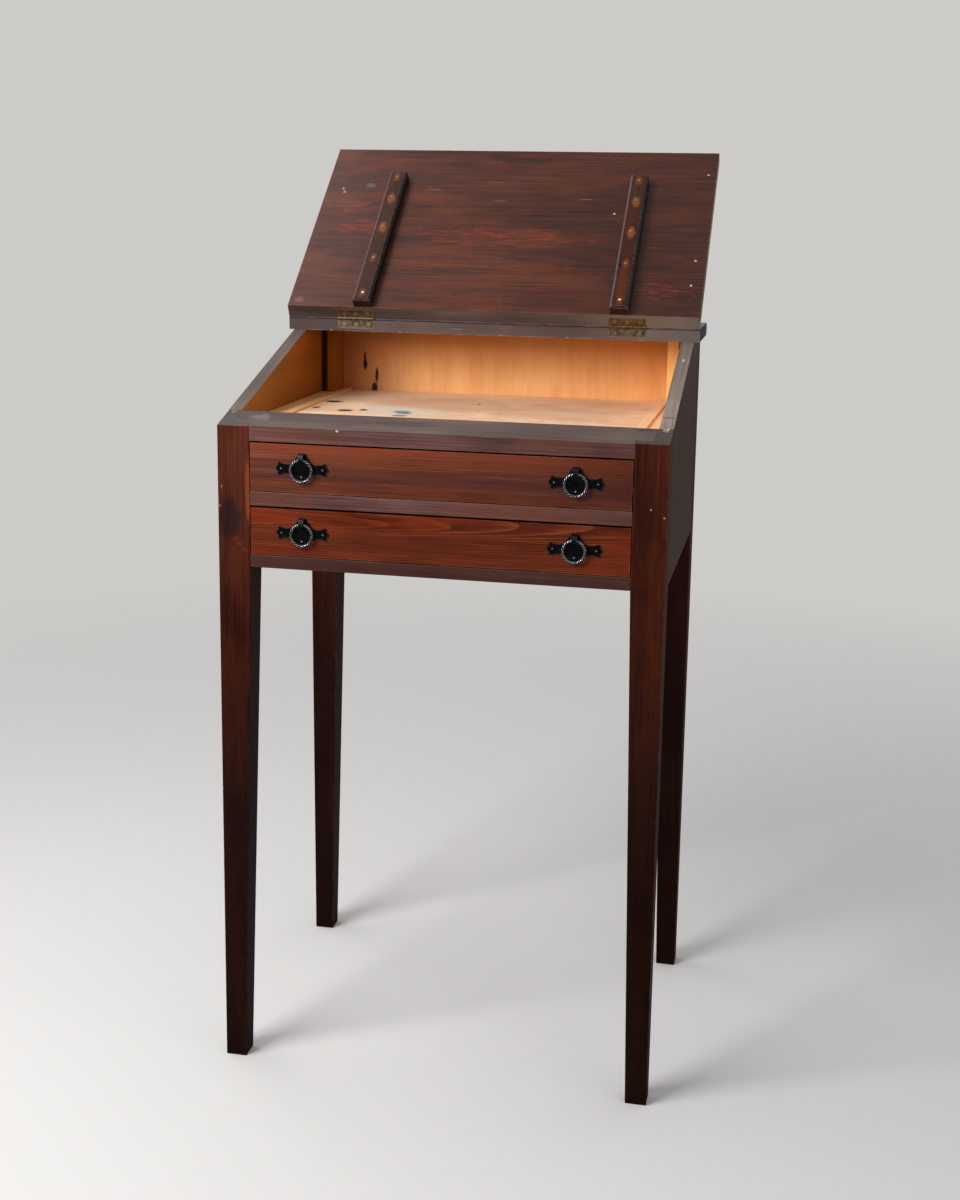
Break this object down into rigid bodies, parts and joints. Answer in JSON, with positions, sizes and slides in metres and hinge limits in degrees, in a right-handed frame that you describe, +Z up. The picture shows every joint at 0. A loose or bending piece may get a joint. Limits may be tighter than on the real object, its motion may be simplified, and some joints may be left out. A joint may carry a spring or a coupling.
{
  "type": "standing writing desk",
  "caption": "Slant-top standing desk with tapered legs, a lift-up lid over a writing compartment, and drawers with iron ring pulls.",
  "frame": {"origin": "on the floor, under the middle of the whole desk's box as it stands with the lid leaning back", "axes": "+X to the right of someone who stands at the front, +Y from the front to the back, +Z up"},
  "size_m": [0.636, 0.632, 1.3229],
  "materials": {
    "dark_stained_pine": "dark stain under a worn semi-gloss lacquer",
    "worn_stained_pine": "stain faded to grey-brown on the edges",
    "red_stained_pine": "reddish stain under a semi-gloss lacquer",
    "raw_pine": "planed and unfinished, darkened with age",
    "pale_pine": "planed and unfinished, with ink stains",
    "aged_brass": "tarnished, satin",
    "black_iron": "blackened, with worn highlights"
  },
  "bodies": {
    "desk_frame": {"leg_front_left": "dark_stained_pine", "leg_front_right": "dark_stained_pine", "leg_rear_left": "dark_stained_pine", "leg_rear_right": "dark_stained_pine", "side_panel_left": "dark_stained_pine", "side_panel_right": "dark_stained_pine", "bottom_rail": "dark_stained_pine", "top_rail": "worn_stained_pine", "middle_rail": "worn_stained_pine", "top_board": "worn_stained_pine", "back_panel": "raw_pine", "floor_ledger": "raw_pine", "floor_strip_left": "raw_pine", "floor_strip_right": "raw_pine", "kicker_left": "raw_pine", "kicker_right": "raw_pine", "upper_runner_left": "raw_pine", "upper_runner_right": "raw_pine", "lower_runner_left": "raw_pine", "lower_runner_right": "raw_pine", "upper_guide_left": "raw_pine", "upper_guide_right": "raw_pine", "lower_guide_left": "raw_pine", "lower_guide_right": "raw_pine", "drawer_stops": "raw_pine", "compartment_floor": "pale_pine", "hinge_left_board_leaf": "aged_brass", "hinge_right_board_leaf": "aged_brass", "hinge_left_pin": "aged_brass", "hinge_right_pin": "aged_brass", "board_leaf_screws": "aged_brass"},
    "lid": {"lid_board": "dark_stained_pine", "lid_batten_left": "red_stained_pine", "lid_batten_right": "red_stained_pine", "batten_nails": "aged_brass", "hinge_left_lid_leaf": "aged_brass", "hinge_right_lid_leaf": "aged_brass", "lid_leaf_screws": "aged_brass"},
    "upper_drawer": {"upper_drawer_front": "red_stained_pine", "upper_drawer_side_left": "raw_pine", "upper_drawer_side_right": "raw_pine", "upper_drawer_back": "raw_pine", "upper_drawer_bottom": "pale_pine", "upper_plate_left": "black_iron", "upper_plate_right": "black_iron", "upper_plate_nails": "black_iron"},
    "lower_drawer": {"lower_drawer_front": "red_stained_pine", "lower_drawer_side_left": "raw_pine", "lower_drawer_side_right": "raw_pine", "lower_drawer_back": "raw_pine", "lower_drawer_bottom": "pale_pine", "lower_plate_left": "black_iron", "lower_plate_right": "black_iron", "lower_plate_nails": "black_iron"},
    "upper_ring_left_pull": {"upper_ring_left": "black_iron"},
    "upper_ring_right_pull": {"upper_ring_right": "black_iron"},
    "lower_ring_left_pull": {"lower_ring_left": "black_iron"},
    "lower_ring_right_pull": {"lower_ring_right": "black_iron"}
  },
  "joints": [
    {"name": "lid_hinge", "type": "hinge", "parent": "desk_frame", "child": "lid", "pos_m": [0, 0.03054, 1.06125], "axis": [1, 0, 0], "range_deg": [0, 156.4]},
    {"name": "upper_drawer_slide", "type": "slide", "parent": "desk_frame", "child": "upper_drawer", "axis": [0, -1, 0], "range_m": [0, 0.28]},
    {"name": "lower_drawer_slide", "type": "slide", "parent": "desk_frame", "child": "lower_drawer", "axis": [0, -1, 0], "range_m": [0, 0.28]},
    {"name": "upper_ring_left_hinge", "type": "hinge", "parent": "upper_drawer", "child": "upper_ring_left_pull", "pos_m": [-0.1885, -0.31156, 0.8944], "axis": [-1, 0, 0], "range_deg": [0, 170]},
    {"name": "upper_ring_right_hinge", "type": "hinge", "parent": "upper_drawer", "child": "upper_ring_right_pull", "pos_m": [0.1885, -0.31156, 0.8944], "axis": [-1, 0, 0], "range_deg": [0, 170]},
    {"name": "lower_ring_left_hinge", "type": "hinge", "parent": "lower_drawer", "child": "lower_ring_left_pull", "pos_m": [-0.1885, -0.31156, 0.8049], "axis": [-1, 0, 0], "range_deg": [0, 170]},
    {"name": "lower_ring_right_hinge", "type": "hinge", "parent": "lower_drawer", "child": "lower_ring_right_pull", "pos_m": [0.1885, -0.31156, 0.8049], "axis": [-1, 0, 0], "range_deg": [0, 170]}
  ]
}
